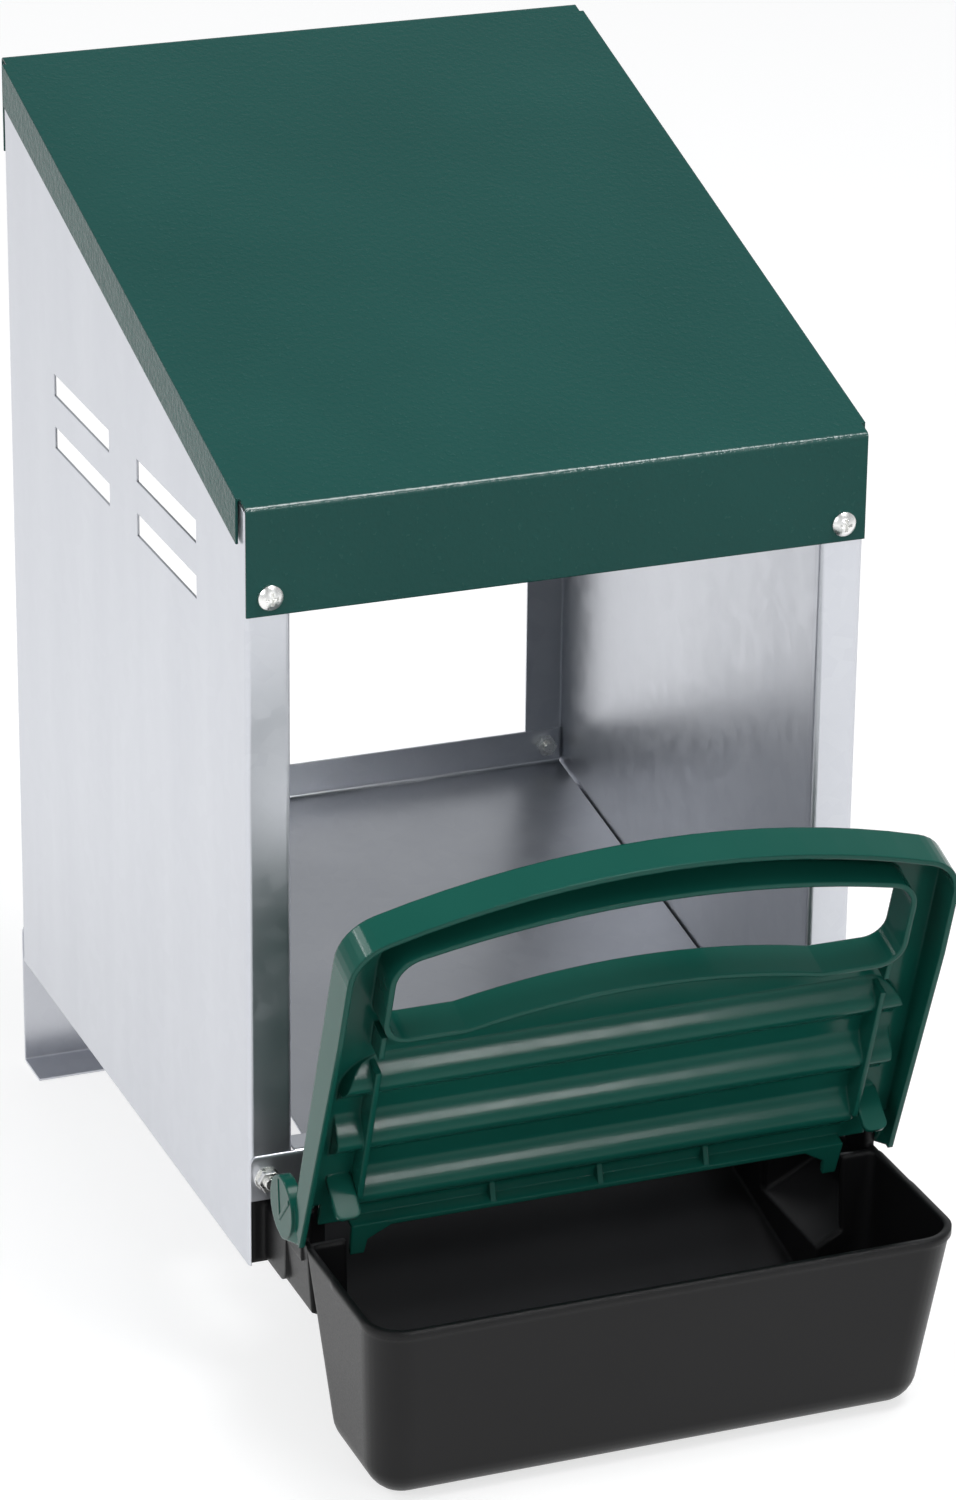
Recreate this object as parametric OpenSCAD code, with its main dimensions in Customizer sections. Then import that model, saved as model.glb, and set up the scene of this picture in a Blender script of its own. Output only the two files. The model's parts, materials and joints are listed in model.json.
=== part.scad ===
// Roll-out nest box: a folded galvanised sheet body under a sloping green roof,
// with a moulded egg tray in front and a moulded lid that is also the perch.
// Millimetres. +Z is up, the front faces -Y, and the box stands on z = 0.

/* [Body] */
// Width over the two side panels
body_w = 255; // [235:1:275]
// Depth of the side panels, front face to back face
body_d = 306; // [290:1:325]
// Roof's front edge above the panels' bottom edge
front_h = 318; // [300:1:335]
// Roof's back edge above the panels' bottom edge
rear_h = 411; // [392:1:430]
// Panels' bottom edge above the ground
stand_h = 50; // [46:1:58]
// Thickness of the galvanised sheet
sheet_t = 1; // [0.8:0.1:1.2]
// Outside radius of a sheet bend
bend_r = 2; // [1.6:0.1:2.5]

/* [Side panels] */
// Width of the front post flange
post_w = 18; // [16.5:0.5:20]
// Depth of the return lip on the front post
post_lip = 6; // [5:0.5:8]
// Width of the rear flange
rear_flange_w = 18; // [16.5:0.5:22]
// Width of the inward flange along the bottom edge
base_flange_w = 13; // [12:0.5:14]
// Foot of the front post above the panel's bottom edge
post_foot_h = 29; // [28:0.5:32]

/* [Vent slots] */
// Length of a vent slot
slot_l = 74; // [60:1:80]
// Height of a vent slot
slot_h = 9.5; // [6:0.5:14]
// Space between the two columns of slots
slot_gap = 35.5; // [20:0.5:45]
// Distance between the two rows of slots
slot_pitch = 22.8; // [18:0.2:30]
// First slot behind the front face
slot_front = 58; // [40:1:70]
// Lower row above the panel's bottom edge
slot_low = 261; // [200:1:265]

/* [Roof] */
// Thickness of the painted roof sheet
roof_t = 1; // [0.8:0.1:1.4]
// Height of the front fascia
fascia_h = 43.5; // [35:0.5:55]
// Height of the roof's back flange
roof_back_h = 41; // [30:0.5:55]
// Height of the roof's side flanges
roof_side_h = 18; // [12:0.5:22]
// Gap between a side flange and its panel
roof_side_gap = 0.7; // [0.3:0.1:2]
// Length cut off each end of a side flange
roof_relief = 7; // [4:0.5:12]
// Roof screws above the lower edge of their flange
roof_screw_up = 7.5; // [6:0.5:12]
// Roof screws in from the panel's outer face
roof_screw_in = 9.4; // [8:0.2:10]

/* [Front sill] */
// Height of the sill's front plate
sill_h = 19.5; // [17:0.5:24]
// Depth of the sill's top return
sill_return = 12; // [8:0.5:20]
// Radius of the sill's upper corners
sill_corner_r = 4; // [2:0.5:6]
// Sill's ends inside the panel's outer face
sill_end_gap = 0.3; // [0.1:0.1:1]
// Sill bolts in from the panel's outer face
sill_bolt_in = 6.8; // [6.6:0.1:7.4]

/* [Nest floor] */
// Front edge of the floor behind the front face
floor_front = 51; // [48:1:56]
// Front edge of the floor above the panels' bottom edge
floor_front_h = 22; // [19:0.5:26]
// Back of the floor above the panels' bottom edge
floor_rear_h = 60; // [52:0.5:70]
// Height of the lip turned up at the back
floor_back_lip = 16; // [14:0.5:24]
// Height of the lip turned down in front
floor_front_lip = 5; // [3:0.5:6]
// Front corner cut-out in from the panel's outer face
floor_notch_w = 43; // [30:1:50]
// Depth of the front corner cut-out
floor_notch_d = 26; // [20:1:40]
// Width of the foot along each skirt
floor_foot_w = 11; // [10:0.5:12]
// Gap between a skirt and its panel
floor_gap = 1; // [0.8:0.1:1.4]

/* [Rear foot] */
// Length of the foot's forward flange
foot_flange = 22; // [16:0.5:30]
// Top of the foot above the panels' bottom edge
foot_up = 18.4; // [17:0.2:24]
// Radius of the foot's upper corners
foot_corner_r = 6; // [3:0.5:10]
// Foot screws above the panels' bottom edge
foot_screw_up = 11; // [8:0.5:12]

/* [Egg tray] */
// Tray's front edge in front of the front face
tray_reach = 127; // [118:1:132]
// Tray's rim above the panels' bottom edge
tray_rim_h = 32; // [30:0.5:32]
// Tray's rim in from the panel's outer face
tray_side_gap = 6; // [5.8:0.1:7]
// Bin's back wall in front of the front face
bin_back = 47; // [45:0.5:48]
// Wall of the tray
tray_wall = 2.5; // [2:0.1:3]
// How far each side wall leans in
side_draft = 5.8; // [4:0.2:9]
// How far the front wall leans in
front_draft = 12.7; // [6:0.1:16]
// How far the back wall leans in
back_draft = 4; // [2:0.5:8]
// Radius along the bin's bottom edges
bin_fillet = 15; // [8:0.5:18]
// Radius of the rim's front corners
rim_r = 16; // [10:0.5:20]
// How far the rim's bead stands out
bead_w = 0.4; // [0.2:0.1:0.6]
// Height of the rim's bead
bead_h = 3; // [2:0.5:5]
// Height of the neck's side walls
neck_h = 29; // [27:0.5:31]
// How far the neck's side walls lie inside the bin's
neck_inset = 0.5; // [0.3:0.1:1]
// How far the neck's ledges fall toward the chute
ledge_fall = 12; // [8:0.5:14]
// Length of the neck's lowered part
neck_step = 24; // [20:0.5:26]
// How far the lowered part lies below the rim
neck_step_h = 6; // [4:0.5:8]
// Egg chute's outer side in from the panel's outer face
chute_in = 30.5; // [28:0.5:34]
// Chute's floor below the panels' bottom edge, at the front face
chute_drop = 17; // [16:0.5:20]
// Slope of the chute's floor
chute_slope = 13; // [10:0.5:14]
// Back end of the chute behind the front face
chute_back = 60; // [58:0.5:66]
// Top of the chute's inner walls above the panels' bottom edge
chute_wall_h = 16; // [12:0.5:17]
// Thickness of the tray's bolted ears
tray_ear_t = 3; // [2.5:0.1:4]
// Thickness of the lug outside the neck
lug_t = 3; // [2:0.1:3.4]
// Lug's lower edge above the panels' bottom edge
lug_low = 3; // [1:0.5:6]

/* [Lid] */
// Hinge axis in front of the front face
pivot_out = 36; // [34:0.5:40]
// Hinge axis above the panels' bottom edge
pivot_h = 44; // [44:0.5:48]
// Lean of the opened lid from upright, toward the front
lid_lean = 18.3; // [0:0.1:60]
// Lid's side in from the panel's outer face, at the hinge
lid_side_gap = 2; // [1.8:0.1:2.1]
// How much narrower each side is at the far corners
lid_taper = 1.4; // [0:0.1:1.6]
// Hinge axis to the top of the lid's arch
lid_len = 174; // [165:1:185]
// Radius of the lid's arched edge
lid_arch_r = 349; // [280:1:450]
// Radius of the lid's far corners
lid_corner_r = 20; // [12:0.5:26]
// Depth of the lid's rim
lid_depth = 16; // [13:0.5:18]
// Hinge axis to the lid's outer face
lid_drop = 9.3; // [9:0.1:9.4]
// Wall of the lid
lid_t = 2.2; // [1.8:0.1:2.4]
// Width of the hand hole
hole_w = 209.6; // [190:0.2:214]
// Hinge axis to the hand hole's upper edge
hole_top = 157; // [150:0.5:160]
// Hinge axis to the hand hole's lower edge, at the middle
hole_low = 115; // [112:0.5:120]
// Hinge axis to the hand hole's lower edge, at its level ends
hole_end = 106; // [105:0.5:109]
// Radius of the hand hole's upper edge
hole_top_r = 400; // [300:1:500]
// Radius of the hand hole's lower edge
hole_low_r = 300; // [220:1:400]
// Radius of the hand hole's upper corners
hole_top_corner_r = 12; // [8:0.5:14]
// Radius of the hand hole's lower corners
hole_low_corner_r = 9; // [6:0.5:12]
// Hinge axis to the start of the first wave
wave_start = 5; // [4:0.2:5.2]
// Width of a wave along the lid
wave_w = 23.8; // [22:0.1:25]
// Distance from one wave to the next
wave_pitch = 29.7; // [27:0.1:30]
// Number of waves
wave_count = 3; // [1:1:3]
// Depth of a wave below the plate
wave_d = 7.7; // [4:0.1:8]
// Side walls' near end behind the hinge axis
wall_back = 4; // [2:0.5:5]
// How much shallower the side walls are at the hinge
wall_fall = 6; // [0:0.5:7]
// Ribs in from the panel's outer face
rib_in = 23.5; // [23.5:0.5:34]
// Depth of a rib under the plate
rib_depth = 9.5; // [8:0.5:11]
// Near end of a rib from the hinge axis
rib_near = 19; // [18:0.5:22]
// Far end of a rib from the hinge axis
rib_far = 104; // [98:0.5:105]
// Lip's edge behind the hinge axis
lip_back = 1.2; // [0.5:0.1:2]
// How far the lip stands out under the plate
lip_step = 6; // [5:0.5:8]
// Distance between the lip's gussets
gusset_pitch = 45; // [30:1:60]
// Hooks in from the panel's outer face
hook_in = 27.5; // [26.5:0.5:36]
// Length of a hook past the lip
hook_l = 13.3; // [8:0.1:14]
// Width of a hook at the lip
hook_w = 7; // [6:0.5:8]
// Width of a hook at its tip
hook_tip_w = 5.5; // [3:0.5:6]
// How much wider a hook's root is, toward the middle
hook_flare = 9; // [4:0.5:12]
// How far the tongues lean toward the hinge
tongue_tilt = 24; // [0:1:28]
// Tongues in from the panel's outer face
tongue_in = 17; // [17:0.1:18]
// Width of a tongue
tongue_w = 10; // [7:0.5:10]
// Tongue from the hinge axis
tongue_out = 17; // [16:0.5:20]
// Length of a tongue below the lid's outer face
tongue_l = 19; // [15:0.5:20]
// Radius of a tongue's corners
tongue_r = 3; // [1.5:0.5:3.5]

/* [Hinge] */
// Diameter of a hinge pin
pin_d = 5; // [4:0.5:6]
// Running play between a pin and the lid, on the radius
pin_play = 0.05; // [0.03:0.01:0.08]
// Diameter of a hinge pin's head
pin_head_d = 9; // [7:0.5:10]
// Height of a hinge pin's head
pin_head_h = 2.5; // [1.5:0.5:3]
// Radius of the tray's hinge ears
ear_r = 8; // [7:0.5:8.5]
// Thickness of the tray's hinge ears
ear_t = 4.2; // [3.5:0.1:4.4]
// Gap between a hinge ear and the lid's knuckle
hinge_gap = 0.4; // [0.3:0.05:0.6]
// Radius of the lid's knuckles
knuckle_r = 12.5; // [11:0.5:13]
// Thickness of the lid's knuckles
knuckle_t = 5; // [4.5:0.1:5.2]
// Depth of a pin in its knuckle
pin_seat = 3.4; // [3:0.1:3.6]

/* [Fasteners] */
// Diameter of the screws and bolts
bolt_d = 5; // [4:0.5:5]
// Play between a screw and its hole, on the diameter
bolt_play = 0.3; // [0.1:0.1:0.5]
// Diameter of a screw head
head_d = 10; // [8:0.2:10]
// Height of a screw head
head_h = 3.5; // [2.5:0.1:4]
// Nut across its flats
nut_af = 8; // [7:0.5:8]
// Height of a nut
nut_h = 4; // [3:0.2:4.4]
// Diameter of a washer
washer_d = 10; // [9:0.5:10]
// Thickness of a washer
washer_t = 1; // [0.8:0.1:1.2]
// Screw end past its nut
bolt_end = 2; // [1:0.5:3]

/* [Hidden] */
$fn = 48;

// Colours as painted, galvanised and moulded
roof_green = [0.13, 0.31, 0.28];
galvanised = [0.78, 0.79, 0.82];
tray_black = [0.16, 0.16, 0.17];
lid_green = [0.13, 0.37, 0.31];
zinc = [0.86, 0.86, 0.84];

// Working values: cut overrun, arc steps, thread play, clearances
overrun = 1;
bend_steps = 4;
corner_steps = 8;
arch_steps = 16;
hull_fn = 36;
thread_play = 0.05;
seat_play = 0.02;
panel_top_gap = 1.5;
lid_clear = 1.5;
ear_clear = 1.8;

// Places that several pieces share
half_w = body_w / 2;
base_z = stand_h;
roof_slope = (rear_h - front_h) / (body_d + 2 * roof_t);
roof_thick_z = roof_t * sqrt(1 + roof_slope * roof_slope);
sill_z = base_z + post_foot_h;
sill_bolt_z = sill_z + sill_h / 2;
roof_front_z = base_z + front_h - fascia_h + roof_screw_up;
roof_back_z = base_z + rear_h - roof_back_h + roof_screw_up;
roof_screw_x = half_w - roof_screw_in;
sill_bolt_x = half_w - sill_bolt_in;
rear_screw_x = half_w - rear_flange_w / 2;
floor_rear_y = body_d - 2 * sheet_t;
floor_screw_z = base_z + floor_rear_h + floor_back_lip / 2 + sheet_t;
floor_skirt_y = floor_front + floor_notch_d;
floor_skirt_x = half_w - sheet_t - floor_gap;
floor_foot_x = floor_skirt_x - sheet_t - (floor_foot_w - sheet_t) / 2;
floor_foot_end_y = floor_rear_y - rear_flange_w;
floor_foot_margin = floor_foot_w * 2;
foot_screw_z = base_z + foot_screw_up;
hole_d = bolt_d + bolt_play;

// Tray and hinge
rim_z = base_z + tray_rim_h;
rim_x = half_w - tray_side_gap;
ledge_z = rim_z - neck_h;
fall_z = ledge_z - ledge_fall;
neck_x = rim_x - neck_inset;
neck_foot_x = neck_x - side_draft * neck_h / rim_z;
step_z = rim_z - neck_step_h;
chute_x = half_w - chute_in;
chute_tan = tan(chute_slope);
ear_x = rim_x - ear_t;
tray_ear_y = sheet_t + tray_ear_t;
tray_ear_x = half_w - sheet_t - seat_play;
pivot_z = base_z + pivot_h;
knuckle_x = rim_x + hinge_gap;
open_angle = 90 - lid_lean;

// Lid, measured from the hinge axis with the lid shut
lid_hw = half_w - lid_side_gap;
lid_far_hw = lid_hw - lid_taper;
lid_under = -lid_drop - lid_t;
lid_edge = -lid_drop - lid_depth;
rib_x = half_w - rib_in;
tongue_x = half_w - tongue_in;
hook_x = half_w - hook_in;
mouth_x = hook_x + hook_w / 2 + lid_clear;
notch_x = ear_x - ear_clear;
notch_s = ear_r + ear_clear;
wall_start = -wall_back;
front_s = tray_reach - pivot_out;
wave_end = min(wave_start + (wave_count - 1) * wave_pitch + wave_w, front_s - tray_wall - lid_clear);
wave_steps = 24;
hollow_share = 0.12;
ridge_mark_t = (half_w - knuckle_x - knuckle_t) / 2;
ridge_mark_angle = 24;
ridge_mark_w = knuckle_r / 8;
ridge_mark_l = knuckle_r * 1.5;

// Middle of the whole box from front to back, where the origin goes
back_y = body_d + max(sheet_t, roof_t) + head_h;
mid_y = (back_y - tray_reach - bead_w) / 2;

// Points along an arc, from one angle to another
function arc(c, r, a0, a1, steps) =
    [for (i = [0:steps]) let (a = a0 + (a1 - a0) * i / steps) c + r * [cos(a), sin(a)]];

function unit(v) = v / norm(v);
function left_of(v) = [-v[1], v[0]];
function turn(a, b) = atan2(a[0] * b[1] - a[1] * b[0], a * b);
function spin(v, a) = [v[0] * cos(a) - v[1] * sin(a), v[0] * sin(a) + v[1] * cos(a)];
function backwards(v) = [for (i = [len(v) - 1:-1:0]) v[i]];

// One side of a bent strip: the path moved d to its left, with round bends
function strip_side(path, r, d) =
    let (last = len(path) - 1)
    concat(
        [path[0] + left_of(unit(path[1] - path[0])) * d],
        [for (i = [1:last - 1])
            let (a = unit(path[i] - path[i - 1]), b = unit(path[i + 1] - path[i]))
            let (angle = turn(a, b), s = sign(angle))
            let (c = path[i] - a * r * tan(abs(angle) / 2) + left_of(a) * r * s)
            for (k = [0:bend_steps]) c - spin(left_of(a), angle * k / bend_steps) * s * (r - s * d)],
        [path[last] + left_of(unit(path[last] - path[last - 1])) * d]
    );

// Section of a bent sheet that lies on the left of its path
module strip(path, t, r) {
    polygon(concat(strip_side(path, r, 0), backwards(strip_side(path, r, t))));
}

// A rectangle with round corners, from its low corner to its high corner
module round_rect(low, high, r) {
    hull_low = low + [r, r];
    hull_high = high - [r, r];
    translate([low[0], hull_low[1]]) square([high[0] - low[0], hull_high[1] - hull_low[1]]);
    translate([hull_low[0], low[1]]) square([hull_high[0] - hull_low[0], high[1] - low[1]]);
    for (x = [hull_low[0], hull_high[0]], y = [hull_low[1], hull_high[1]]) translate([x, y]) circle(r);
}

// A (y, z) outline drawn out along X, and an (x, z) outline drawn out along Y
module along_x(x0, x1) {
    translate([x0, 0, 0]) rotate([90, 0, 90]) linear_extrude(x1 - x0) children();
}
module along_y(y0, y1) {
    translate([0, y1, 0]) rotate([90, 0, 0]) linear_extrude(y1 - y0) children();
}

// The same piece on both sides
module pair() {
    children();
    mirror([1, 0, 0]) children();
}

// From the front face's middle to the part's own origin
module in_frame() {
    translate([0, -mid_y, 0]) children();
}

// A hole along Y through a sheet whose faces are at y0 and y1
module hole_y(x, z, y0, y1) {
    translate([x, y0 - overrun, z]) rotate([-90, 0, 0]) cylinder(d = hole_d, h = y1 - y0 + 2 * overrun);
}

// Pan-head screw with a cross recess: the seat at z = 0, the head above it
module screw(grip) {
    skirt_h = head_h / 3;
    dome_h = head_h - skirt_h;
    dome_r = (head_d * head_d / 4 + dome_h * dome_h) / (2 * dome_h);
    slot_w = head_d / 9;
    slot_len = head_d / 2;
    slot_depth = head_h / 2;
    difference() {
        rotate_extrude() intersection() {
            translate([0, head_h - dome_r]) circle(dome_r);
            square([head_d / 2, head_h]);
        }
        for (a = [0, 90]) rotate(a) translate([-slot_len / 2, -slot_w / 2, head_h - slot_depth])
            cube([slot_len, slot_w, head_h]);
    }
    shank_l = grip + nut_h + bolt_end;
    translate([0, 0, -shank_l]) cylinder(d = bolt_d, h = shank_l);
}

// Hexagon nut that ends a screw of the same grip
module nut(grip) {
    translate([0, 0, -grip - nut_h]) difference() {
        cylinder(d = nut_af / cos(30), h = nut_h, $fn = 6);
        translate([0, 0, -overrun]) cylinder(d = bolt_d + thread_play, h = nut_h + 2 * overrun);
    }
}

// Places of the fastener sets, seat outward
module front_seat(x, y, z) {
    in_frame() pair() translate([x, y, z]) rotate([90, 0, 0]) children();
}
module back_seat(x, y, z) {
    in_frame() pair() translate([x, y, z]) rotate([-90, 0, 0]) children();
}
module under_seat(x, ys, z) {
    in_frame() pair() for (y = ys) translate([x, y, z]) rotate([180, 0, 0]) children();
}
roof_grip = roof_t + sheet_t;
sheets_grip = 2 * sheet_t;
sill_grip = tray_ear_t + 2 * sheet_t + washer_t;
floor_foot_ys = [floor_skirt_y + floor_foot_margin, floor_foot_end_y - floor_foot_margin];

// Height of the roof's outer face over a place behind the front face
function roof_z(y) = base_z + front_h + roof_slope * (y + roof_t);
function floor_z(y) =
    base_z + floor_front_h
    + (floor_rear_h - floor_front_h) * (y - floor_front) / (floor_rear_y - floor_front);
function chute_z(y) = base_z - chute_drop + chute_tan * y;
function chute_low(y) = chute_z(y) - tray_wall;

// Roof: fascia, top and back flange in one bent sheet, with a flange down each side
module roof() {
    front = -roof_t;
    back = body_d + roof_t;
    path = [
        [back, roof_z(back) - roof_back_h], [back, roof_z(back)],
        [front, roof_z(front)], [front, roof_z(front) - fascia_h]
    ];
    wing_front = front + roof_relief;
    wing_back = back - roof_relief;
    wing_x = half_w + roof_side_gap;
    edge_x = wing_x + roof_t;
    cut_w = edge_x - half_w + overrun;
    cut_h = rear_h + overrun;
    mid_t = roof_thick_z / 2;
    color(roof_green) in_frame() difference() {
        union() {
            along_x(-edge_x, edge_x) strip(path, roof_t, bend_r);
            pair() along_x(wing_x, edge_x) polygon([
                [wing_front, roof_z(wing_front) - roof_side_h],
                [wing_back, roof_z(wing_back) - roof_side_h],
                [wing_back, roof_z(wing_back) - mid_t],
                [wing_front, roof_z(wing_front) - mid_t]
            ]);
        }
        pair() translate([half_w, front - overrun, base_z]) cube([cut_w, roof_relief + overrun, cut_h]);
        pair() translate([half_w, wing_back, base_z]) cube([cut_w, roof_relief + overrun, cut_h]);
        pair() hole_y(roof_screw_x, roof_front_z, front, 0);
        pair() hole_y(rear_screw_x, roof_back_z, body_d, back);
    }
}

// Side panel, drawn with its outer face at x = 0 and the nest toward +X
module side_panel() {
    path = [[rear_flange_w, body_d], [0, body_d], [0, 0], [post_w, 0], [post_w, post_lip]];
    top_front = roof_z(0) - roof_thick_z - panel_top_gap;
    top_back = roof_z(body_d) - roof_thick_z - panel_top_gap;
    reach = max(post_w, rear_flange_w, base_flange_w);
    base_front = post_lip + sheet_t;
    base_back = body_d - sheet_t;
    slot_z = base_z + slot_low;
    difference() {
        union() {
            intersection() {
                translate([0, 0, base_z]) linear_extrude(rear_h) strip(path, sheet_t, bend_r);
                along_x(-overrun, reach + overrun)
                    polygon([[0, base_z], [body_d, base_z], [body_d, top_back], [0, top_front]]);
            }
            translate([0, base_front, base_z]) cube([base_flange_w, base_back - base_front, sheet_t]);
        }
        translate([sheet_t, -overrun, base_z - overrun])
            cube([post_w, post_lip - sheet_t + overrun, post_foot_h + overrun]);
        translate([post_w - 2 * sheet_t, -overrun, base_z - overrun])
            cube([3 * sheet_t, post_lip + 2 * overrun, post_foot_h + overrun]);
        for (col = [0, 1], row = [0, 1])
            translate([-overrun, slot_front + col * (slot_l + slot_gap), slot_z + row * slot_pitch])
                cube([sheet_t + 2 * overrun, slot_l, slot_h]);
        hole_y(roof_screw_in, roof_front_z, 0, sheet_t);
        hole_y(sill_bolt_in, sill_bolt_z, 0, sheet_t);
        for (z = [roof_back_z, floor_screw_z, foot_screw_z])
            hole_y(rear_flange_w / 2, z, body_d - sheet_t, body_d);
        for (y = floor_foot_ys) translate([half_w - floor_foot_x, y, base_z - overrun])
            cylinder(d = hole_d, h = sheet_t + 2 * overrun);
    }
}

module left_side_panel() {
    color(galvanised) in_frame() translate([-half_w, 0, 0]) side_panel();
}
module right_side_panel() {
    color(galvanised) in_frame() mirror([1, 0, 0]) translate([-half_w, 0, 0]) side_panel();
}

// Sill across the posts' front faces, with a return behind it between the posts
module front_sill() {
    top = sill_z + sill_h;
    end_x = half_w - sill_end_gap;
    return_x = half_w - post_w - sheet_t;
    path = [[sill_return, top], [-sheet_t, top], [-sheet_t, sill_z]];
    color(galvanised) in_frame() difference() {
        intersection() {
            along_x(-end_x, end_x) strip(path, sheet_t, bend_r);
            along_y(-sheet_t - overrun, sill_return + overrun)
                round_rect([-end_x, sill_z - sill_corner_r], [end_x, top], sill_corner_r);
        }
        pair() translate([return_x, 0, sill_z])
            cube([post_w + sheet_t, sill_return + overrun, sill_h + overrun]);
        pair() hole_y(sill_bolt_x, sill_bolt_z, -sheet_t, 0);
    }
}

// Sloping floor with a turned-down front edge, an upright back lip and a skirt with a foot on each side
module nest_floor() {
    path = [
        [floor_rear_y, floor_z(floor_rear_y) + floor_back_lip], [floor_rear_y, floor_z(floor_rear_y)],
        [floor_front, floor_z(floor_front)], [floor_front, floor_z(floor_front) - floor_front_lip]
    ];
    skirt_in_x = floor_skirt_x - sheet_t;
    foot_z = base_z + sheet_t;
    notch_x0 = half_w - floor_notch_w;
    color(galvanised) in_frame() difference() {
        union() {
            along_x(-floor_skirt_x, floor_skirt_x) strip(path, sheet_t, bend_r);
            pair() along_x(skirt_in_x, floor_skirt_x) polygon([
                [floor_skirt_y, foot_z], [floor_foot_end_y, foot_z],
                [floor_foot_end_y, floor_z(floor_foot_end_y) - sheet_t / 2],
                [floor_skirt_y, floor_z(floor_skirt_y) - sheet_t / 2]
            ]);
            pair() translate([floor_skirt_x - floor_foot_w, floor_skirt_y, foot_z])
                cube([floor_foot_w, floor_foot_end_y - floor_skirt_y, sheet_t]);
        }
        pair() translate([notch_x0, floor_front - bend_r - overrun, base_z])
            cube([floor_notch_w, floor_notch_d + bend_r + overrun, floor_rear_h]);
        pair() hole_y(rear_screw_x, floor_screw_z, floor_rear_y, floor_rear_y + sheet_t);
        pair() for (y = floor_foot_ys) translate([floor_foot_x, y, foot_z - overrun])
            cylinder(d = hole_d, h = sheet_t + 2 * overrun);
    }
}

// Foot plate behind the rear flanges, with a flange forward along the ground
module rear_foot() {
    back = body_d + sheet_t;
    top = base_z + foot_up;
    path = [[back - foot_flange, 0], [back, 0], [back, top]];
    color(galvanised) in_frame() difference() {
        intersection() {
            along_x(-half_w, half_w) strip(path, sheet_t, bend_r);
            along_y(back - foot_flange - overrun, back + overrun)
                round_rect([-half_w, -foot_corner_r], [half_w, top], foot_corner_r);
        }
        pair() hole_y(rear_screw_x, foot_screw_z, body_d, back);
    }
}

// The bin's tapered body, moved in by an inset and drawn up past the rim by a rise
module bin_body(inset, rise) {
    top_x = rim_x - inset;
    low_x = rim_x - side_draft - inset;
    front = tray_reach - inset;
    back = bin_back + inset;
    low_front = front - front_draft;
    low_back = back + back_draft;
    r_top = rim_r - inset;
    r_back = tray_wall * 2 - inset;
    r_low = bin_fillet - inset;
    $fn = hull_fn;
    hull() {
        for (s = [-1, 1]) {
            translate([s * (top_x - r_top), r_top - front, rim_z - overrun])
                cylinder(r = r_top, h = overrun + rise);
            translate([s * (top_x - r_back), -back - r_back, rim_z - overrun])
                cylinder(r = r_back, h = overrun + rise);
            translate([s * (low_x - r_low), r_low - low_front, bin_fillet]) sphere(r_low);
            translate([s * (low_x - r_low), -low_back - r_low, bin_fillet]) sphere(r_low);
        }
    }
}

// Side wall and ledge of the neck, as an (x, z) outline
module neck_side() {
    polygon([
        [neck_x, rim_z], [neck_x - tray_wall, rim_z], [neck_foot_x - tray_wall, ledge_z + tray_wall],
        [chute_x - tray_wall, fall_z + tray_wall], [chute_x - tray_wall, fall_z], [neck_foot_x, ledge_z]
    ]);
}

// Mouth in the bin's back wall over a ledge, just above it, as an (x, z) outline
module mouth_side() {
    low_x = chute_x - tray_wall;
    low_z = fall_z + tray_wall * 9 / 8;
    end_z = low_z + ledge_fall * (mouth_x - low_x) / (neck_foot_x - chute_x);
    polygon([
        [low_x - tray_wall, low_z], [low_x, low_z], [mouth_x, end_z],
        [mouth_x, rim_z + overrun], [low_x - tray_wall, rim_z + overrun]
    ]);
}

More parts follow.
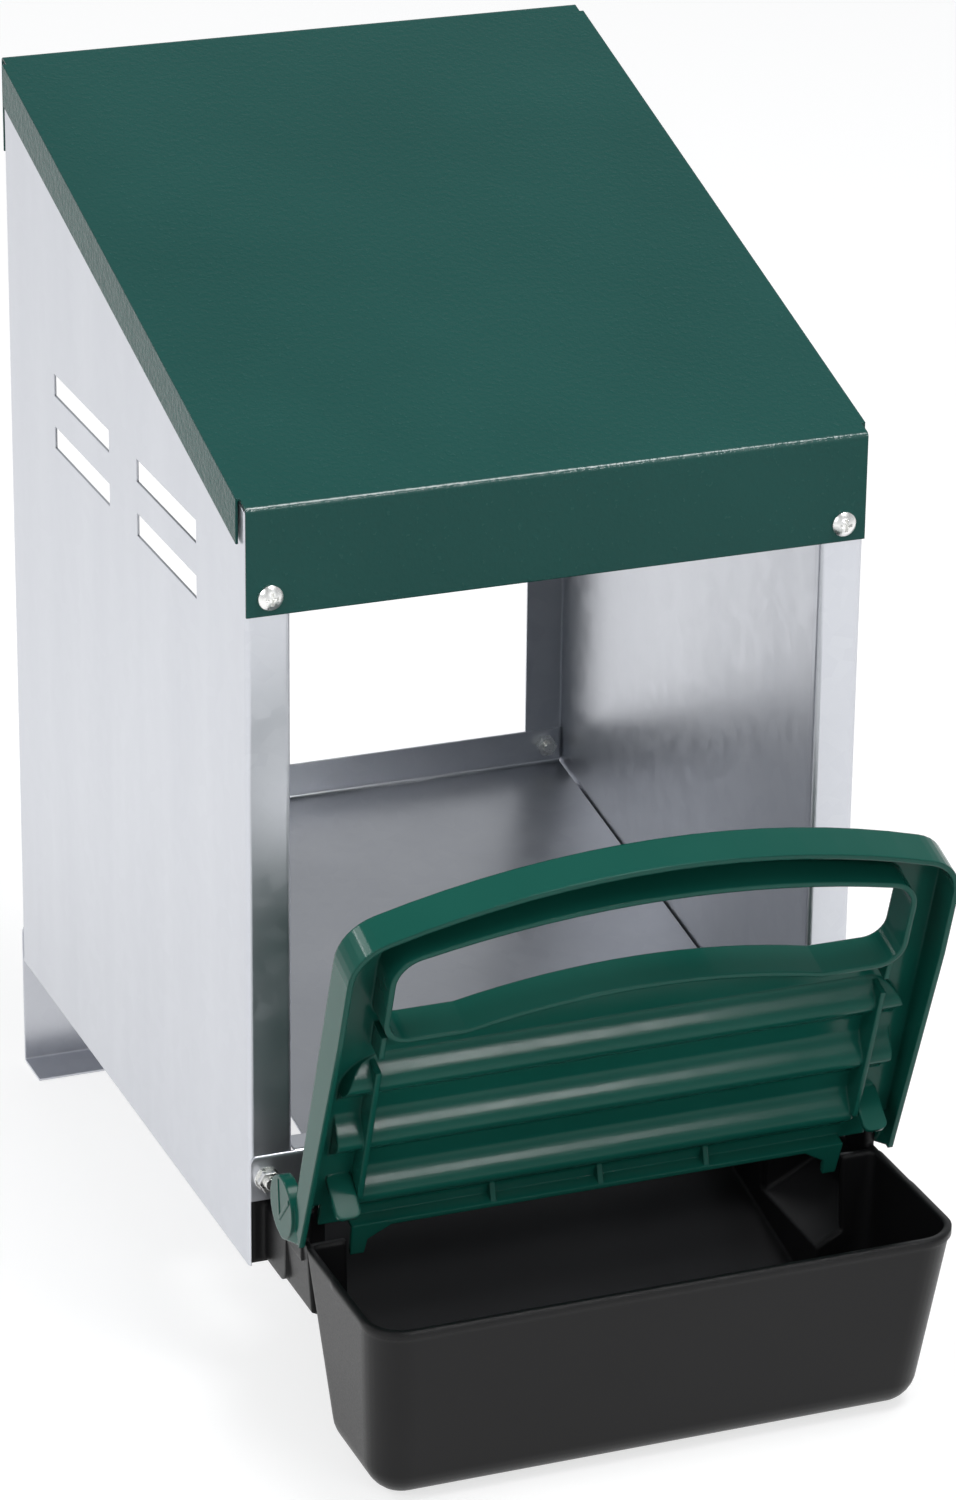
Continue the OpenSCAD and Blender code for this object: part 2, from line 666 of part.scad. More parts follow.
// Egg tray: bin, neck, sloping chute under the nest floor, hinge ears and bolted ears
module egg_tray() {
    chute_in_x = chute_x - tray_wall;
    bin_y = -bin_back - back_draft / 2;
    chute_front = bin_y - tray_wall * 4 / 5;
    neck_y = -bin_back - (tray_wall + back_draft / 2) / 2;
    inner_wall_z = base_z + chute_wall_h;
    lug_x = ear_x + tray_wall / 5;
    lug_r = lug_t * 2;
    lug_z = base_z + lug_low;
    ear_in_x = half_w - post_w + 2 * sheet_t;
    ear_root_z = step_z - tray_wall;
    mid_wall = tray_wall / 2;
    ear_low_z = base_z + sheet_t;
    ear_mid_z = sill_z - sheet_t / 2;
    ear_high_z = sill_z + sill_h - sheet_t;
    color(tray_black) in_frame() difference() {
        union() {
            difference() {
                union() {
                    bin_body(0, 0);
                    translate([0, 0, rim_z - bead_h]) linear_extrude(bead_h) round_rect(
                        [-rim_x - bead_w, -tray_reach - bead_w], [rim_x + bead_w, bin_y - rim_r], rim_r);
                }
                bin_body(tray_wall, overrun);
                translate([-chute_in_x, bin_y - bin_fillet, chute_z(bin_y)])
                    cube([2 * chute_in_x, bin_fillet + bin_back, rim_z]);
                pair() along_y(bin_y - bin_fillet, 0) mouth_side();
            }
            // Sides of the neck, lower near the body
            pair() difference() {
                along_y(neck_y, tray_ear_y) neck_side();
                translate([chute_in_x, -neck_step, step_z]) cube([chute_in, neck_step + bin_back, rim_z]);
            }
            // Chute: sloping floor, side walls and back end
            along_x(-chute_x, chute_x) polygon([
                [chute_back, chute_z(chute_back)], [chute_front, chute_z(chute_front)],
                [chute_front, chute_low(chute_front)], [chute_back, chute_low(chute_back)]
            ]);
            pair() along_x(chute_in_x, chute_x) polygon([
                [chute_front, chute_low(chute_front)], [chute_back, chute_low(chute_back)],
                [chute_back, inner_wall_z], [tray_ear_y, inner_wall_z],
                [tray_ear_y, fall_z + mid_wall], [chute_front, fall_z + mid_wall]
            ]);
            along_x(-chute_x, chute_x) polygon([
                [chute_back - tray_wall, chute_low(chute_back)], [chute_back, chute_low(chute_back)],
                [chute_back, inner_wall_z], [chute_back - tray_wall, inner_wall_z]
            ]);
            // Hinge ears above the rim
            pair() along_x(ear_x, rim_x) {
                translate([-pivot_out, pivot_z]) circle(ear_r);
                translate([-pivot_out - ear_r, ear_root_z]) square([2 * ear_r, pivot_z - ear_root_z]);
            }
            // Lugs outside the neck, round in front
            pair() along_x(lug_x, lug_x + lug_t) {
                translate([lug_r - neck_step, lug_z])
                    square([neck_step - lug_r + tray_ear_y, step_z - lug_z]);
                translate([-neck_step, lug_z + lug_r]) square([lug_r, step_z - lug_z - lug_r]);
                translate([lug_r - neck_step, lug_z + lug_r]) circle(lug_r);
            }
            // Ears that the sill bolts clamp behind the posts
            pair() along_y(sheet_t, tray_ear_y) {
                polygon([
                    [chute_x - mid_wall, fall_z + mid_wall], [neck_foot_x - mid_wall, ledge_z + mid_wall],
                    [neck_foot_x - mid_wall, ear_low_z], [tray_ear_x, ear_low_z],
                    [tray_ear_x, ear_mid_z], [chute_x - mid_wall, ear_mid_z]
                ]);
                translate([ear_in_x, ear_mid_z - overrun])
                    square([tray_ear_x - ear_in_x, ear_high_z - ear_mid_z + overrun]);
            }
        }
        pair() translate([ear_x - overrun, -pivot_out, pivot_z]) rotate([0, 90, 0])
            cylinder(d = pin_d + 2 * seat_play, h = ear_t + 2 * overrun);
        pair() hole_y(sill_bolt_x, sill_bolt_z, sheet_t, tray_ear_y);
    }
}

// Round-cornered arch over a straight-sided plate, from the near edge at s0
function arch(hw, near_hw, s0, top, r, corner) =
    let (c = [0, top - r], cy = top - r + sqrt(pow(r - corner, 2) - pow(hw - corner, 2)))
    let (a = atan2(cy - c[1], hw - corner))
    concat(
        [[near_hw, s0]],
        arc([hw - corner, cy], corner, 0, a, corner_steps),
        arc(c, r, a, 180 - a, arch_steps),
        arc([corner - hw, cy], corner, 180 - a, 180, corner_steps),
        [[-near_hw, s0]]
    );

// Hand hole: an arched upper edge, and a lower edge that is level at its ends and arched between
function arched_hole(hw, top, top_r, top_corner, low, end, low_r, low_corner) =
    let (c1 = [0, top - top_r], y1 = c1[1] + sqrt(pow(top_r - top_corner, 2) - pow(hw - top_corner, 2)))
    let (a1 = atan2(y1 - c1[1], hw - top_corner))
    let (c0 = [0, low - low_r], a0 = asin((end - c0[1]) / low_r))
    concat(
        arc([hw - low_corner, end + low_corner], low_corner, 270, 360, corner_steps),
        arc([hw - top_corner, y1], top_corner, 0, a1, corner_steps),
        arc(c1, top_r, a1, 180 - a1, arch_steps),
        arc([top_corner - hw, y1], top_corner, 180 - a1, 180, corner_steps),
        arc([low_corner - hw, end + low_corner], low_corner, 180, 270, corner_steps),
        arc(c0, low_r, 180 - a0, a0, arch_steps)
    );

module lid_outline(inset, s0) {
    polygon(arch(
        lid_far_hw - inset, lid_hw - inset, s0, lid_len - inset, lid_arch_r - inset, lid_corner_r - inset));
}
module hand_hole(grow) {
    polygon(arched_hole(
        hole_w / 2 + grow, hole_top + grow, hole_top_r + grow, hole_top_corner_r + grow,
        hole_low - grow, hole_end - grow, hole_low_r - grow, hole_low_corner_r + grow));
}

// A flat piece of the lid, as an (x, s) outline between two heights
module slab(h0, h1) {
    translate([0, 0, h0]) linear_extrude(h1 - h0) children();
}

// Underside of one of the lid's waves, as points over a share of its width, raised by a thickness
function wave_points(i, first_share, last_share, rise) = [
    for (k = [0:wave_steps])
        let (v = first_share + (last_share - first_share) * k / wave_steps)
        [wave_start + i * wave_pitch + v * wave_w, lid_under - wave_d * (1 - cos(360 * v)) / 2 + rise]
];

// Same points, closed by a straight top
function wave_shape(i, first_share, last_share, rise, top) =
    let (points = wave_points(i, first_share, last_share, rise))
    concat(points, [[points[wave_steps][0], top], [points[0][0], top]]);

// Half the length of a wave: the first ends at the ribs, beside the tray's back wall
function wave_x(i) = i == 0 ? rib_x : half_w;

// Area that the waves cover, clear of the tray's rim and its round corners
module wave_area(inset) {
    round_rect([inset - notch_x, -rim_r], [notch_x - inset, wave_end - inset], rim_r - inset);
}

// Lid shut, with the hinge axis at the origin and s running to +Y
module shut_lid() {
    rib_a = rib_x - lid_t / 2;
    rib_b = rib_x + lid_t / 2;
    rib_low = lid_under - rib_depth;
    root_h = lid_under + lid_t / 2;
    lip_low = lid_under - lip_step;
    lip_mid = lid_t / 2 - lip_back;
    lip_x = hook_x + hook_w / 2;
    web_r = knuckle_r * 2 / 5;
    web_root = [web_r - knuckle_r, -knuckle_r / 4];
    web_low = [lid_t - wall_back, lid_edge + wall_fall + lid_t];
    web_high = [lid_t - wall_back, -lid_drop - lid_t];
    tongue_h = (tongue_l + lid_drop + root_h) / cos(tongue_tilt);
    difference() {
        union() {
            // Plate, narrower between the ears
            slab(lid_under, -lid_drop) difference() {
                lid_outline(0, wall_start);
                translate([-half_w, wall_start - overrun]) square([body_w, wall_back - lip_back + overrun]);
                pair() translate([notch_x, wall_start - overrun])
                    square([half_w - notch_x, notch_s - wall_start + overrun]);
            }
            // Walls round the plate, shallower toward the hinge
            intersection() {
                slab(lid_edge, -lid_drop) difference() {
                    lid_outline(0, wall_start);
                    lid_outline(lid_t, wall_start - overrun);
                }
                along_x(-half_w, half_w) polygon([
                    [wall_start - overrun, lid_edge + wall_fall], [wall_start, lid_edge + wall_fall],
                    [hole_end, lid_edge], [hole_end, lid_edge - overrun],
                    [lid_len + overrun, lid_edge - overrun], [lid_len + overrun, 0], [wall_start - overrun, 0]
                ]);
            }
            slab(lid_edge, root_h) hand_hole(lid_t);
            // Waves under the plate
            intersection() {
                slab(lid_edge, root_h) wave_area(0);
                for (i = [0:wave_count - 1]) along_x(-wave_x(i), wave_x(i))
                    polygon(wave_shape(i, 0, 1, 0, 0));
            }
            // Ribs across the waves, notched where the tray's rim comes
            pair() along_x(rib_a, rib_b) difference() {
                translate([rib_near, rib_low]) square([rib_far - rib_near, root_h - rib_low]);
                translate([wave_end - lid_clear, rib_low - overrun])
                    square([front_s - wave_end + bead_w + 2 * lid_clear, rib_depth + overrun]);
            }
            // Lip along the hinge side, with gussets and hooks
            along_x(-lip_x, lip_x) translate([-lip_back, lip_low]) square([lid_t, -lid_drop - lip_low]);
            for (k = [-1, 0, 1]) along_x(k * gusset_pitch - lid_t / 2, k * gusset_pitch + lid_t / 2)
                polygon([[lip_mid, lip_low], [notch_s, root_h], [lip_mid, root_h]]);
            pair() slab(lip_low, lip_low + lid_t) translate([hook_x, 0]) polygon([
                [-hook_w / 2 - hook_flare, lip_mid], [-hook_w / 2 - hook_flare, -lip_back],
                [-hook_w / 2, -lip_back - hook_flare * 2 / 3], [-hook_tip_w / 2, -lip_back - hook_l],
                [hook_tip_w / 2, -lip_back - hook_l], [hook_w / 2, lip_mid]
            ]);
            // Tongues beside the ribs
            pair() translate([0, tongue_out, -lid_drop - tongue_l]) rotate([-tongue_tilt, 0, 0])
                along_y(-lid_t / 2, lid_t / 2) round_rect(
                    [tongue_x - tongue_w / 2, 0], [tongue_x + tongue_w / 2, tongue_h], tongue_r);
            // Knuckles on the hinge axis, joined below to the side walls, with a raised V on the outer face
            pair() along_x(knuckle_x, knuckle_x + knuckle_t) circle(knuckle_r);
            pair() hull() {
                $fn = hull_fn;
                along_x(knuckle_x, knuckle_x + knuckle_t) translate(web_root) circle(web_r);
                for (c = [web_low, web_high]) along_x(lid_hw - lid_t * 4 / 5, lid_hw - lid_t / 5)
                    translate(c) circle(lid_t);
            }
            pair() along_x(knuckle_x + knuckle_t, knuckle_x + knuckle_t + ridge_mark_t) intersection() {
                circle(knuckle_r - ridge_mark_w);
                translate([-knuckle_r / 2, 0]) for (s = [-1, 1]) rotate(s * ridge_mark_angle)
                    translate([0, -ridge_mark_w / 2]) square([ridge_mark_l, ridge_mark_w]);
            }
        }
        slab(lid_edge - overrun, overrun) hand_hole(0);
        // Hollows in the outer face, one behind each wave
        intersection() {
            slab(lid_edge, 0) wave_area(lid_t);
            for (i = [0:wave_count - 1]) along_x(lid_t - wave_x(i), wave_x(i) - lid_t)
                polygon(wave_shape(i, hollow_share, 1 - hollow_share, lid_t, overrun));
        }
        pair() translate([knuckle_x - overrun, 0, 0]) rotate([0, 90, 0])
            cylinder(d = pin_d + 2 * pin_play, h = pin_seat + hinge_gap / 2 + overrun);
    }
}

module tray_lid() {
    color(lid_green) in_frame() translate([0, -pivot_out, pivot_z]) rotate([-open_angle, 0, 0])
        rotate([0, 0, 180]) shut_lid();
}

// Hinge pin through a tray ear into a knuckle, with its head inside the tray
module hinge_pin() {
    shank_l = ear_t + hinge_gap + pin_seat;
    translate([ear_x, -pivot_out, pivot_z]) rotate([0, 90, 0]) {
        cylinder(d = pin_d, h = shank_l);
        translate([0, 0, -pin_head_h]) cylinder(d = pin_head_d, h = pin_head_h);
    }
}
module left_hinge_pin() {
    color(zinc) in_frame() mirror([1, 0, 0]) hinge_pin();
}
module right_hinge_pin() {
    color(zinc) in_frame() hinge_pin();
}

// Fastener sets
module roof_front_screws() {
    color(zinc) front_seat(roof_screw_x, -roof_t, roof_front_z) screw(roof_grip);
}
module roof_front_nuts() {
    color(zinc) front_seat(roof_screw_x, -roof_t, roof_front_z) nut(roof_grip);
}
module roof_rear_screws() {
    color(zinc) back_seat(rear_screw_x, body_d + roof_t, roof_back_z) screw(roof_grip);
}
module roof_rear_nuts() {
    color(zinc) back_seat(rear_screw_x, body_d + roof_t, roof_back_z) nut(roof_grip);
}
module sill_bolts() {
    color(zinc) back_seat(sill_bolt_x, tray_ear_y, sill_bolt_z) screw(sill_grip);
}
module sill_washers() {
    color(zinc) front_seat(sill_bolt_x, -sheet_t, sill_bolt_z) difference() {
        cylinder(d = washer_d, h = washer_t);
        translate([0, 0, -overrun]) cylinder(d = hole_d, h = washer_t + 2 * overrun);
    }
}
module sill_nuts() {
    color(zinc) back_seat(sill_bolt_x, tray_ear_y, sill_bolt_z) nut(sill_grip);
}
module floor_rear_screws() {
    color(zinc) back_seat(rear_screw_x, body_d, floor_screw_z) screw(sheets_grip);
}
module floor_rear_nuts() {
    color(zinc) back_seat(rear_screw_x, body_d, floor_screw_z) nut(sheets_grip);
}
module floor_foot_screws() {
    color(zinc) under_seat(floor_foot_x, floor_foot_ys, base_z) screw(sheets_grip);
}
module floor_foot_nuts() {
    color(zinc) under_seat(floor_foot_x, floor_foot_ys, base_z) nut(sheets_grip);
}
module foot_screws() {
    color(zinc) back_seat(rear_screw_x, body_d + sheet_t, foot_screw_z) screw(sheets_grip);
}
module foot_nuts() {
    color(zinc) back_seat(rear_screw_x, body_d + sheet_t, foot_screw_z) nut(sheets_grip);
}

roof();
left_side_panel();
right_side_panel();
front_sill();
nest_floor();
rear_foot();
egg_tray();
tray_lid();
left_hinge_pin();
right_hinge_pin();
roof_front_screws();
roof_front_nuts();
roof_rear_screws();
roof_rear_nuts();
sill_bolts();
sill_washers();
sill_nuts();
floor_rear_screws();
floor_rear_nuts();
floor_foot_screws();
floor_foot_nuts();
foot_screws();
foot_nuts();
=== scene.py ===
# %% [markdown]
# A roll-out nest box in folded galvanised sheet, with a painted roof, a moulded tray and a moulded lid.
# The solids come from the CAD model and stay where they are. This file gives them their finishes, sets up
# the light and places the camera, one step at a time. Lengths are in metres.

# %% Load the solids
import bpy
import json
import math
from mathutils import Matrix, Vector

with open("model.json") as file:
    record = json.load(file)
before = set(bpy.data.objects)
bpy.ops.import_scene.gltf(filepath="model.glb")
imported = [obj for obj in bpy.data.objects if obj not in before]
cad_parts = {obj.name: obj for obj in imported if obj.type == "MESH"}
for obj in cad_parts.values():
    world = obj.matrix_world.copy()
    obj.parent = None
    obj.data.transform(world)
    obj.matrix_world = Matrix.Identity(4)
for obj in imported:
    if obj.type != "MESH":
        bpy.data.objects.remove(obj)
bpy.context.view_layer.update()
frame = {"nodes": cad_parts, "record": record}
nodes = frame["nodes"]

# %% [markdown]
# The camera stands to the front left of the box, a little above it, with a long lens, so that the
# uprights stay nearly parallel. Its place was worked out from the corners of the box in the picture.
# A camera in Blender looks along its own -Z with +Y up, so three unit vectors make its rotation.

# %% Camera
PICTURE_H = 1500
FOCAL_PIXELS = 5569.4
SENSOR_W = 36
AZIMUTH = math.radians(21.450)
ELEVATION = math.radians(22.737)
ROLL = math.radians(0.641)
CAMERA_PLACE = Vector((-0.7572, -1.93415, 1.0871))

level_ahead = Vector((math.sin(AZIMUTH), math.cos(AZIMUTH), 0))
looking = math.cos(ELEVATION) * level_ahead - Vector((0, 0, math.sin(ELEVATION)))
level_right = Vector((math.cos(AZIMUTH), -math.sin(AZIMUTH), 0))
level_up = level_right.cross(looking)
right = math.cos(ROLL) * level_right + math.sin(ROLL) * level_up
up = math.cos(ROLL) * level_up - math.sin(ROLL) * level_right

camera_data = bpy.data.cameras.new("camera")
camera_data.sensor_width = SENSOR_W
camera_data.lens = FOCAL_PIXELS / PICTURE_H * SENSOR_W
camera = bpy.data.objects.new("camera", camera_data)
turn = Matrix((right, up, -looking)).transposed()
camera.matrix_world = Matrix.Translation(CAMERA_PLACE) @ turn.to_4x4()
bpy.context.scene.collection.objects.link(camera)
bpy.context.scene.camera = camera
bpy.context.scene.view_settings.view_transform = "Standard"
print("lens in mm", round(camera_data.lens, 1))

# %% [markdown]
# Every finish below is a small graph of shader nodes around one Principled shader. The first helpers start
# a material, add a node to it and set the shader's own sockets.

# %% Helpers for materials
def start_finish(name):
    material = bpy.data.materials.new(name)
    material.use_nodes = True
    graph = material.node_tree
    shader = graph.nodes["Principled BSDF"]
    return material, graph, shader


def add(graph, kind, links=(), **settings):
    node = graph.nodes.new(kind)
    for name, value in settings.items():
        setattr(node, name, value)
    for source, socket in links:
        graph.links.new(source, node.inputs[socket])
    return node


def fill(node, values):
    for socket, value in values.items():
        node.inputs[socket].default_value = value


def feed(graph, shader, sources):
    for socket, source in sources.items():
        graph.links.new(source, shader.inputs[socket])


# %% [markdown]
# The patterns come from where a point lies on the box, in metres, so a pattern's scale counts its marks
# per metre. Blender's noise keeps mostly between 0.3 and 0.7, and spread() stretches that to a wider range.

# %% Helpers for patterns
NOISE_LOW, NOISE_HIGH = 0.3, 0.7
BEVEL_SAMPLES = 6


def place_in_metres(graph):
    return add(graph, "ShaderNodeNewGeometry").outputs["Position"]


def noise(graph, per_metre, detail, roughness=0.5, stretch=(1, 1, 1)):
    place = add(graph, "ShaderNodeMapping", [(place_in_metres(graph), "Vector")])
    fill(place, {"Scale": stretch})
    node = add(graph, "ShaderNodeTexNoise", [(place.outputs["Vector"], "Vector")])
    fill(node, {"Scale": per_metre, "Detail": detail, "Roughness": roughness})
    return node.outputs["Fac"]


def ramp(graph, source, start, end, first, last):
    node = add(graph, "ShaderNodeMapRange", [(source, "Value")])
    fill(node, {"From Min": start, "From Max": end, "To Min": first, "To Max": last})
    return node.outputs["Result"]


def spread(graph, pattern, first=0, last=1):
    return ramp(graph, pattern, NOISE_LOW, NOISE_HIGH, first, last)


def colour_between(graph, share, first, second):
    node = add(graph, "ShaderNodeMix", [(share, 0)], data_type="RGBA")
    fill(node, {6: (*first, 1), 7: (*second, 1)})
    return node.outputs[2]


def rounded_edges(graph, radius):
    node = add(graph, "ShaderNodeBevel", samples=BEVEL_SAMPLES)
    fill(node, {"Radius": radius})
    return node.outputs["Normal"]


def bumps(graph, height, distance, strength, under):
    node = add(graph, "ShaderNodeBump", [(height, "Height"), (under, "Normal")])
    fill(node, {"Distance": distance, "Strength": strength})
    return node.outputs["Normal"]


def times(graph, source, factor):
    node = add(graph, "ShaderNodeMath", [(source, 0)], operation="MULTIPLY")
    fill(node, {1: factor})
    return node.outputs[0]


def both_of(graph, operation, first, second):
    return add(graph, "ShaderNodeMath", [(first, 0), (second, 1)], operation=operation).outputs[0]


# %% [markdown]
# The roof is sheet with a dark green powder coat. Powder melts into a skin with a fine orange-peel
# texture, so the coat is satin rather than glossy. Two noises make it: a fine one for the peel and a
# broad one for the slight unevenness of the colour and the faint waves that thin sheet has. Over a bend
# the skin is drawn smooth and shines more. The slope's normal has an upward part of 0.96 and the upright
# flanges' normals have none, so whatever lies between is a bend.

# %% Painted roof
PAINT_DEEP = (0.0085, 0.061, 0.053)
PAINT_PALE = (0.0105, 0.069, 0.060)
PAINT_SHEEN = 0.15
BEND_SHEEN = 0.8
BEND_SMOOTHING = 0.1
PAINT_EDGE = 0.0008


def find_bends(graph):
    normal = add(graph, "ShaderNodeNewGeometry").outputs["Normal"]
    upward = add(graph, "ShaderNodeSeparateXYZ", [(normal, "Vector")]).outputs["Z"]
    past_upright = ramp(graph, upward, start=0.1, end=0.3, first=0, last=1)
    short_of_slope = ramp(graph, upward, start=0.85, end=0.93, first=1, last=0)
    return both_of(graph, "MULTIPLY", past_upright, short_of_slope)


def make_powder_coat():
    material, graph, shader = start_finish("green_powder_coat")
    broad = noise(graph, per_metre=9, detail=2)
    peel = noise(graph, per_metre=430, detail=2, roughness=0.6)
    peel_roughness = spread(graph, peel, first=0.18, last=0.28)
    bend = find_bends(graph)
    sheet_waves = bumps(graph, broad, distance=0.004, strength=0.08, under=rounded_edges(graph, PAINT_EDGE))
    feed(graph, shader, {
        "Base Color": colour_between(graph, spread(graph, broad), PAINT_DEEP, PAINT_PALE),
        "Specular IOR Level": ramp(graph, bend, start=0, end=1, first=PAINT_SHEEN, last=BEND_SHEEN),
        "Roughness": both_of(graph, "SUBTRACT", peel_roughness, times(graph, bend, BEND_SMOOTHING)),
        "Normal": bumps(graph, peel, distance=0.0004, strength=0.7, under=sheet_waves),
    })
    return material


green_powder_coat = make_powder_coat()
print("finish", green_powder_coat.name)

# %% [markdown]
# Hot-dip galvanised sheet is bright grey zinc. Its crystals show as a faint pattern of patches that
# differ a little in shine, and the rolling of the sheet leaves soft streaks along its length. A Voronoi
# pattern gives the patches and a stretched noise gives the streaks.

# %% Galvanised sheet
ZINC_DEEP = (0.585, 0.60, 0.645)
ZINC_PALE = (0.675, 0.69, 0.73)
ZINC_METALLIC = 0.92
ZINC_EDGE = 0.0006
CRYSTALS_PER_METRE = 140
CRYSTAL_SHARE = 0.35
STREAK_SHARE = 0.65
STREAK_STRETCH = (1, 1, 0.12)


def make_galvanised():
    material, graph, shader = start_finish("galvanised_sheet")
    fill(shader, {"Metallic": ZINC_METALLIC})
    crystals = add(graph, "ShaderNodeTexVoronoi", [(place_in_metres(graph), "Vector")])
    fill(crystals, {"Scale": CRYSTALS_PER_METRE})
    patch = add(graph, "ShaderNodeSeparateColor", [(crystals.outputs["Color"], "Color")]).outputs["Red"]
    streak = noise(graph, per_metre=30, detail=3, roughness=0.55, stretch=STREAK_STRETCH)
    streaky = ramp(graph, streak, start=0.2, end=0.8, first=0, last=STREAK_SHARE)
    pale = both_of(graph, "ADD", streaky, times(graph, patch, CRYSTAL_SHARE))
    feed(graph, shader, {
        "Base Color": colour_between(graph, pale, ZINC_DEEP, ZINC_PALE),
        "Roughness": ramp(graph, patch, start=0, end=1, first=0.31, last=0.37),
        "Normal": rounded_edges(graph, ZINC_EDGE),
    })
    return material


galvanised_sheet = make_galvanised()
print("finish", galvanised_sheet.name)

# %% [markdown]
# The tray is injection-moulded black plastic with a satin mould texture. A fine noise makes the texture,
# and a wide rounding of the edges gives the soft corners that a mould has.

# %% Black tray plastic
TRAY_DEEP = (0.0045, 0.0045, 0.005)
TRAY_PALE = (0.006, 0.006, 0.0065)
TRAY_SHEEN = 0.22
TRAY_EDGE = 0.003


def make_tray_plastic():
    material, graph, shader = start_finish("black_tray_plastic")
    fill(shader, {"Specular IOR Level": TRAY_SHEEN})
    cloud = noise(graph, per_metre=14, detail=2)
    grain = noise(graph, per_metre=1500, detail=2, roughness=0.6)
    soft_corners = rounded_edges(graph, TRAY_EDGE)
    feed(graph, shader, {
        "Base Color": colour_between(graph, spread(graph, cloud), TRAY_DEEP, TRAY_PALE),
        "Roughness": spread(graph, grain, first=0.30, last=0.40),
        "Normal": bumps(graph, grain, distance=0.0001, strength=0.25, under=soft_corners),
    })
    return material


black_tray_plastic = make_tray_plastic()
print("finish", black_tray_plastic.name)

# %% [markdown]
# The lid is glossy green plastic. Gloss comes from a low roughness, and the slight flow waves that a
# moulding keeps come from a broad, weak bump.

# %% Green lid plastic
LID_DEEP = (0.0055, 0.076, 0.0565)
LID_PALE = (0.0075, 0.084, 0.063)
LID_SHEEN = 0.16
LID_EDGE = 0.0012


def make_lid_plastic():
    material, graph, shader = start_finish("green_lid_plastic")
    fill(shader, {"Specular IOR Level": LID_SHEEN})
    cloud = noise(graph, per_metre=20, detail=2)
    flow = noise(graph, per_metre=45, detail=3)
    soft_corners = rounded_edges(graph, LID_EDGE)
    feed(graph, shader, {
        "Base Color": colour_between(graph, spread(graph, cloud), LID_DEEP, LID_PALE),
        "Roughness": spread(graph, flow, first=0.13, last=0.20),
        "Normal": bumps(graph, flow, distance=0.0006, strength=0.06, under=soft_corners),
    })
    return material


green_lid_plastic = make_lid_plastic()
print("finish", green_lid_plastic.name)

# %% [markdown]
# Screws, nuts, washers and pins are steel with a bright plating of zinc. It is smooth metal, and a fine
# noise makes its shine a little uneven.

# %% Zinc fasteners
PLATING_DEEP = (0.84, 0.84, 0.82)
PLATING_PALE = (0.92, 0.92, 0.90)
PLATING_EDGE = 0.0004


def make_zinc():
    material, graph, shader = start_finish("zinc_fastener")
    fill(shader, {"Metallic": 1})
    cloud = noise(graph, per_metre=300, detail=2)
    feed(graph, shader, {
        "Base Color": colour_between(graph, spread(graph, cloud), PLATING_DEEP, PLATING_PALE),
        "Roughness": spread(graph, cloud, first=0.22, last=0.32),
        "Normal": rounded_edges(graph, PLATING_EDGE),
    })
    return material


zinc_fastener = make_zinc()
print("finish", zinc_fastener.name)

# %% [markdown]
# Each solid takes the finish of its material slot in the record. A solid keeps its mesh, and only the
# material in its slots changes.

# %% Finishes on the solids
FINISH_OF_SLOT = {
    "green_paint": green_powder_coat,
    "galvanised_sheet": galvanised_sheet,
    "black_plastic": black_tray_plastic,
    "green_plastic": green_lid_plastic,
    "zinc_fastener": zinc_fastener,
}
for entry in frame["record"]["subparts"]:
    solid = nodes[entry["node"]]
    solid.data.materials.clear()
    solid.data.materials.append(FINISH_OF_SLOT[entry["material_slot"]])
print("finished", len(nodes), "solids")

# %% [markdown]
# The box stands on a white studio floor. To the camera and to mirror-like surfaces part of the floor's
# white comes from itself, so it stays white to the edges, and the rest is lit, so that it keeps a soft
# shadow under the box.

# %% Floor
FLOOR_HALF = 8.0
FLOOR_DROP = 0.0005
FLOOR_GREY = 0.6
FLOOR_ROUGHNESS = 0.7
FLOOR_GLOW = 2.24
GLOW_SHARE = 0.3


def make_floor_finish():
    material, graph, shader = start_finish("white_floor")
    fill(shader, {"Base Color": (FLOOR_GREY, FLOOR_GREY, FLOOR_GREY, 1), "Roughness": FLOOR_ROUGHNESS})
    glow = add(graph, "ShaderNodeEmission")
    fill(glow, {"Color": (1, 1, 1, 1), "Strength": FLOOR_GLOW})
    path = add(graph, "ShaderNodeLightPath")
    looked_at = path.outputs["Is Camera Ray"]
    for kind in ("Is Glossy Ray", "Is Transmission Ray"):
        looked_at = both_of(graph, "MAXIMUM", looked_at, path.outputs[kind])
    share = times(graph, looked_at, GLOW_SHARE)
    mixed = add(graph, "ShaderNodeMixShader", [(share, 0), (shader.outputs[0], 1), (glow.outputs[0], 2)])
    feed(graph, graph.nodes["Material Output"], {"Surface": mixed.outputs[0]})
    return material


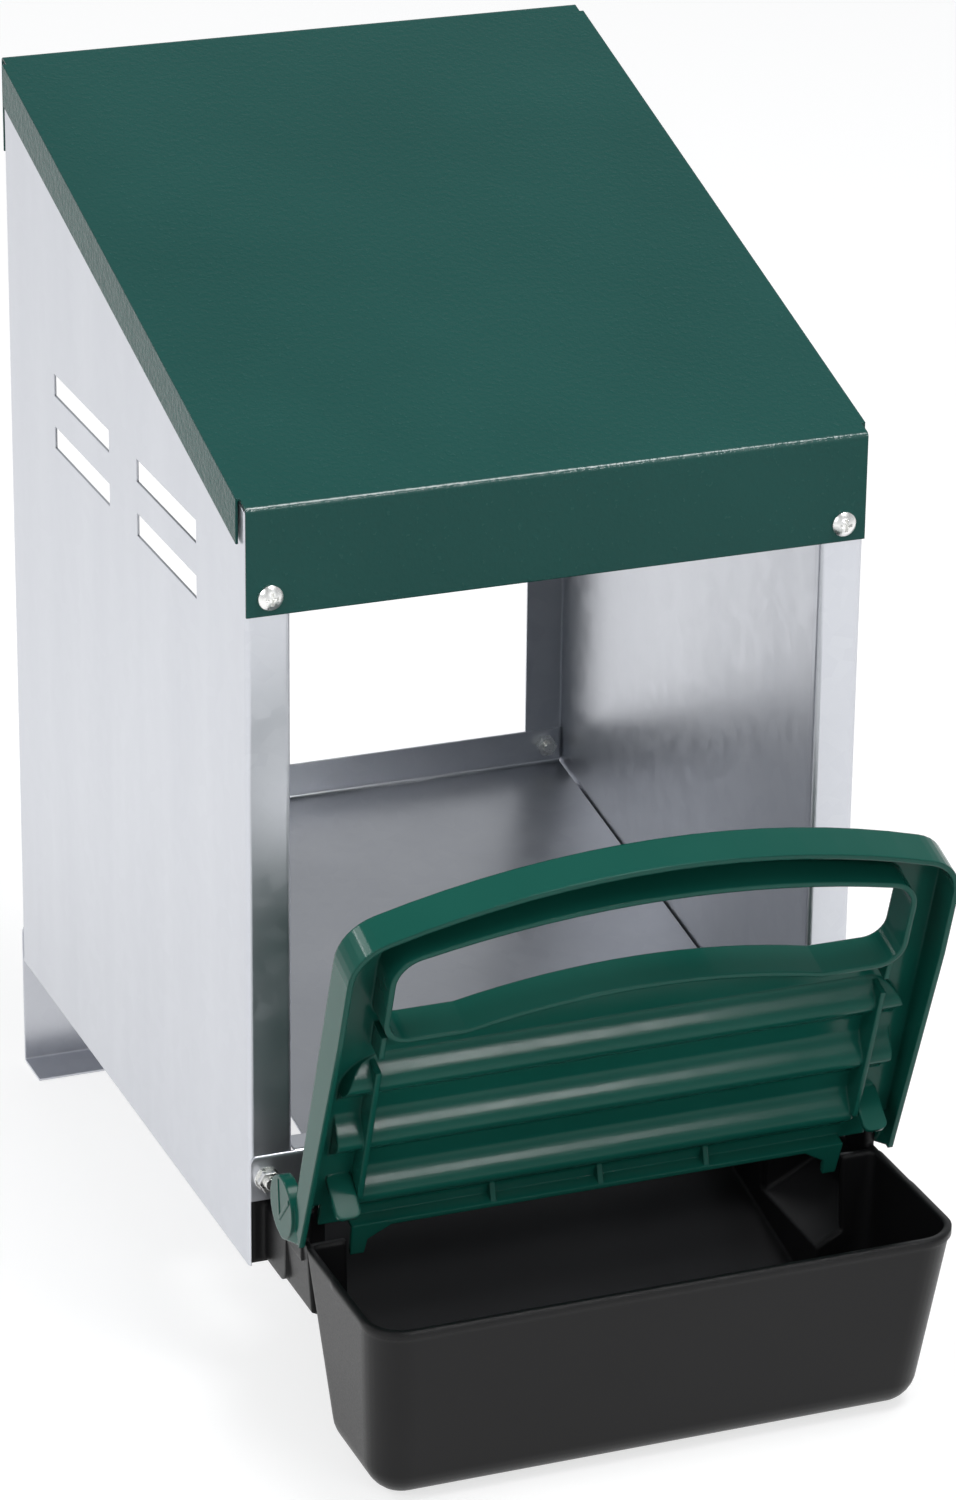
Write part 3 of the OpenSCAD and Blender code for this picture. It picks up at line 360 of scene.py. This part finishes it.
def make_floor():
    mesh = bpy.data.meshes.new("studio_floor")
    corners = [(x * FLOOR_HALF, y * FLOOR_HALF, 0) for x, y in ((-1, -1), (1, -1), (1, 1), (-1, 1))]
    mesh.from_pydata(corners, [], [(0, 1, 2, 3)])
    mesh.materials.append(make_floor_finish())
    floor = bpy.data.objects.new("studio_floor", mesh)
    floor.location.z = -FLOOR_DROP
    bpy.context.scene.collection.objects.link(floor)
    return floor


floor = make_floor()
print("floor", floor.name)

# %% [markdown]
# Soft light comes from a white world, brighter near the horizon, and four lamps: a wide one at the left,
# a long strip in front, a small one behind at the left and a wide one above. The wide ones give gentle
# highlights and soft shadows, and the strip draws the thin bright lines along the lid's waves.

# %% Light
WORLD_TINT = (0.96, 0.98, 1.0, 1)


def make_world():
    world = bpy.data.worlds.new("studio")
    bpy.context.scene.world = world
    world.use_nodes = True
    graph = world.node_tree
    background = graph.nodes["Background"]
    direction = add(graph, "ShaderNodeTexCoord").outputs["Generated"]
    height = add(graph, "ShaderNodeSeparateXYZ", [(direction, "Vector")]).outputs["Z"]
    fill(background, {"Color": WORLD_TINT})
    feed(graph, background, {"Strength": ramp(graph, height, start=0, end=0.9, first=0.75, last=0.35)})


def add_lamp(name, place, target, size, watts):
    data = bpy.data.lights.new(name, "AREA")
    data.shape = "RECTANGLE"
    data.size, data.size_y = size
    data.energy = watts
    lamp = bpy.data.objects.new(name, data)
    lamp.location = place
    lamp.rotation_euler = (Vector(target) - Vector(place)).to_track_quat("-Z", "Y").to_euler()
    bpy.context.scene.collection.objects.link(lamp)


make_world()
add_lamp("left_softbox", place=(-1.8, -1.0, 1.6), target=(0, 0, 0.25), size=(1.1, 1.1), watts=14)
add_lamp("front_strip", place=(0.55, -2.6, 1.29), target=(0, -0.2, 0.15), size=(1.0, 0.09), watts=12)
add_lamp("back_softbox", place=(-1.72, 1.2, 1.55), target=(-0.1, -0.2, 0.2), size=(0.35, 0.35), watts=9)
add_lamp("top_softbox", place=(0.6, -0.6, 2.5), target=(0, 0, 0.3), size=(1.0, 1.0), watts=32)
